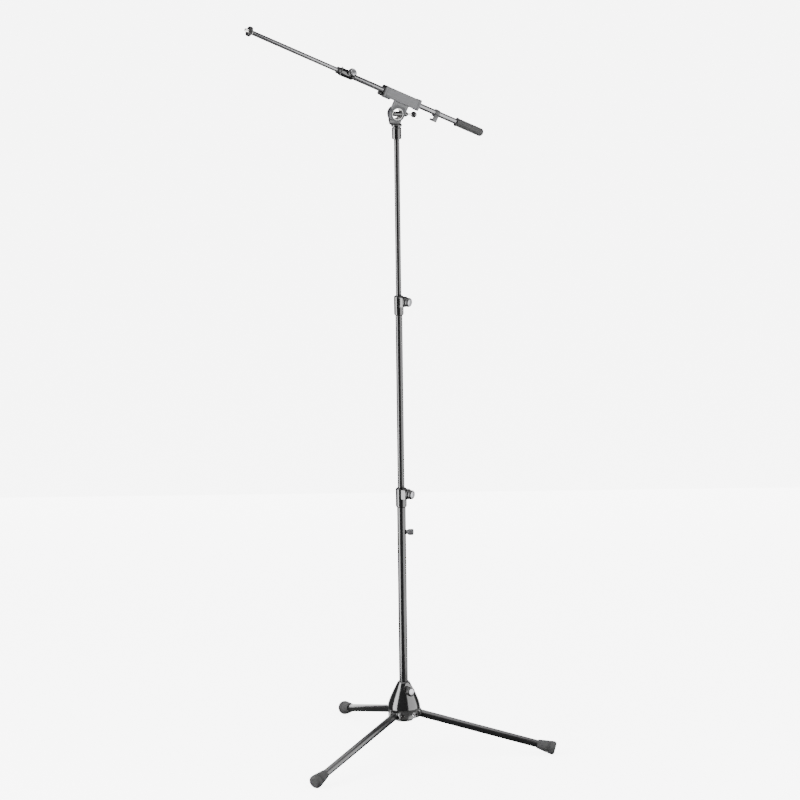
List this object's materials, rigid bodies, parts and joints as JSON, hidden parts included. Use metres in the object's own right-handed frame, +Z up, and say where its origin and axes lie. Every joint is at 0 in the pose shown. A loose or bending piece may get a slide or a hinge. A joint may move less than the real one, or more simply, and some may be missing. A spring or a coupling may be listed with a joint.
{
  "type": "boom microphone stand",
  "caption": "Folding tripod microphone stand with a telescopic column, a tilt swivel with a hollow pivot and a telescopic boom that ends in a threaded stud.",
  "frame": {"origin": "on the floor, under the middle of the whole stand's outline seen from above; the column stands 35 mm towards -X and 103 mm towards +Y from it", "axes": "+Z up along the column, +X the way the boom's threaded end points, +Y along the tilt axis, on the side of the clamp knobs"},
  "size_m": [0.836, 0.6674, 2.1344],
  "materials": {
    "cast_gloss": "gloss black powder coat on zinc die casting",
    "cast_satin": "satin black coat on die casting",
    "tube_black": "semi-gloss black coat on steel tube",
    "plastic_black": "satin black moulded plastic",
    "plastic_grey": "dark grey moulded plastic",
    "rubber": "matte moulded rubber",
    "grip_rubber": "matte rubber with a fine rib pattern",
    "nickel": "bright nickel plate",
    "zinc_steel": "zinc plated steel",
    "badge": "brushed plain disc"
  },
  "bodies": {
    "base": {"base_bell": "cast_gloss", "leg_pin_1": "zinc_steel", "leg_pin_2": "zinc_steel", "leg_pin_3": "zinc_steel"},
    "leg_1": {"leg_knuckle_1": "plastic_black", "leg_tube_1": "tube_black", "rubber_foot_1": "rubber"},
    "leg_2": {"leg_knuckle_2": "plastic_black", "leg_tube_2": "tube_black", "rubber_foot_2": "rubber"},
    "leg_3": {"leg_knuckle_3": "plastic_black", "leg_tube_3": "tube_black", "rubber_foot_3": "rubber"},
    "base_knob": {"base_clamp_knob": "plastic_black", "base_clamp_screw": "zinc_steel", "base_clamp_badge": "badge"},
    "lower_column": {"column_foot": "plastic_black", "lower_tube": "tube_black", "cable_hook": "plastic_grey", "lower_clamp_housing": "cast_gloss", "lower_clamp_bush": "plastic_black"},
    "lower_knob": {"lower_clamp_knob": "plastic_black", "lower_clamp_screw": "zinc_steel", "lower_clamp_badge": "badge"},
    "middle_column": {"middle_guide": "plastic_black", "middle_tube": "tube_black", "upper_clamp_housing": "cast_gloss"},
    "upper_knob": {"upper_clamp_knob": "plastic_black", "upper_clamp_screw": "zinc_steel", "upper_clamp_badge": "badge"},
    "turning_bush": {"upper_clamp_bush": "plastic_black"},
    "upper_column": {"upper_guide": "plastic_black", "upper_rod": "tube_black", "swivel_socket": "cast_gloss"},
    "swivel": {"boom_sleeve": "cast_satin", "hollow_pivot": "zinc_steel", "handle_barrel": "cast_gloss", "sleeve_plug": "plastic_black", "sleeve_bush_front": "plastic_black", "sleeve_bush_rear": "plastic_black"},
    "clamp_screw": {"handle_shank": "zinc_steel", "handle_hub": "cast_gloss", "handle_rod": "nickel", "handle_ball": "plastic_black"},
    "boom": {"boom_tube": "tube_black", "boom_clamp_housing": "cast_gloss", "boom_clamp_bush": "plastic_black", "boom_hook": "plastic_grey", "grip_collar": "plastic_black", "boom_grip": "grip_rubber"},
    "boom_knob": {"boom_clamp_knob": "plastic_black", "boom_clamp_screw": "zinc_steel", "boom_clamp_badge": "badge"},
    "boom_tip": {"boom_guide": "plastic_black", "boom_inner_tube": "tube_black", "thread_stud": "nickel"},
    "lock_ring": {"lock_ring": "plastic_black"}
  },
  "joints": [
    {"name": "leg_1_fold", "type": "hinge", "parent": "base", "child": "leg_1", "pos_m": [-0.00233, 0.12164, 0.1186], "axis": [-0.5, 0.866, 0], "range_deg": [0, 75.5]},
    {"name": "leg_2_fold", "type": "hinge", "parent": "base", "child": "leg_2", "pos_m": [-0.06815, 0.12164, 0.1186], "axis": [-0.5, -0.866, 0], "range_deg": [0, 75.5]},
    {"name": "leg_3_fold", "type": "hinge", "parent": "base", "child": "leg_3", "pos_m": [-0.03524, 0.06464, 0.1186], "axis": [1, 0, 0], "range_deg": [0, 75.5]},
    {"name": "base_knob_turn", "type": "hinge", "parent": "base", "child": "base_knob", "pos_m": [-0.04371, 0.1366, 0.1854], "axis": [-0.2419, 0.9703, 0], "range_deg": [0, 450]},
    {"name": "column_slide", "type": "slide", "parent": "base", "child": "lower_column", "axis": [0, 0, 1], "range_m": [-0.32, 0]},
    {"name": "lower_knob_turn", "type": "hinge", "parent": "lower_column", "child": "lower_knob", "pos_m": [-0.05069, 0.12836, 0.762], "axis": [-0.515, 0.8572, 0], "range_deg": [0, 450]},
    {"name": "middle_slide", "type": "slide", "parent": "lower_column", "child": "middle_column", "axis": [0, 0, 1], "range_m": [-0.495, 0]},
    {"name": "upper_knob_turn", "type": "hinge", "parent": "middle_column", "child": "upper_knob", "pos_m": [-0.05069, 0.12836, 1.318], "axis": [-0.515, 0.8572, 0], "range_deg": [0, 450]},
    {"name": "column_turn", "type": "hinge", "parent": "middle_column", "child": "turning_bush", "pos_m": [-0.03524, 0.10264, 1.32], "axis": [0, 0, 1], "continuous": true},
    {"name": "upper_slide", "type": "slide", "parent": "turning_bush", "child": "upper_column", "axis": [0, 0, 1], "range_m": [-0.435, 0]},
    {"name": "boom_tilt", "type": "hinge", "parent": "upper_column", "child": "swivel", "pos_m": [-0.03524, 0.10264, 1.852], "axis": [0, -1, 0], "range_deg": [-106, 38]},
    {"name": "clamp_screw_turn", "type": "hinge", "parent": "swivel", "child": "clamp_screw", "pos_m": [-0.05509, 0.10594, 1.84956], "axis": [-0.9925, 0, -0.1219], "range_deg": [0, 450]},
    {"name": "boom_slide", "type": "slide", "parent": "swivel", "child": "boom", "axis": [0.8965, 0, 0.4431], "range_m": [-0.08, 0.05]},
    {"name": "boom_knob_turn", "type": "hinge", "parent": "boom", "child": "boom_knob", "pos_m": [0.10619, 0.10264, 1.97321], "axis": [-0.2413, 0.8387, 0.4883], "range_deg": [0, 450]},
    {"name": "boom_extend", "type": "slide", "parent": "boom", "child": "boom_tip", "axis": [0.8965, 0, 0.4431], "range_m": [-0.265, 0]},
    {"name": "lock_ring_turn", "type": "hinge", "parent": "boom_tip", "child": "lock_ring", "pos_m": [0.40293, 0.10264, 2.11987], "axis": [0.8965, 0, 0.4431], "range_deg": [0, 720]}
  ]
}
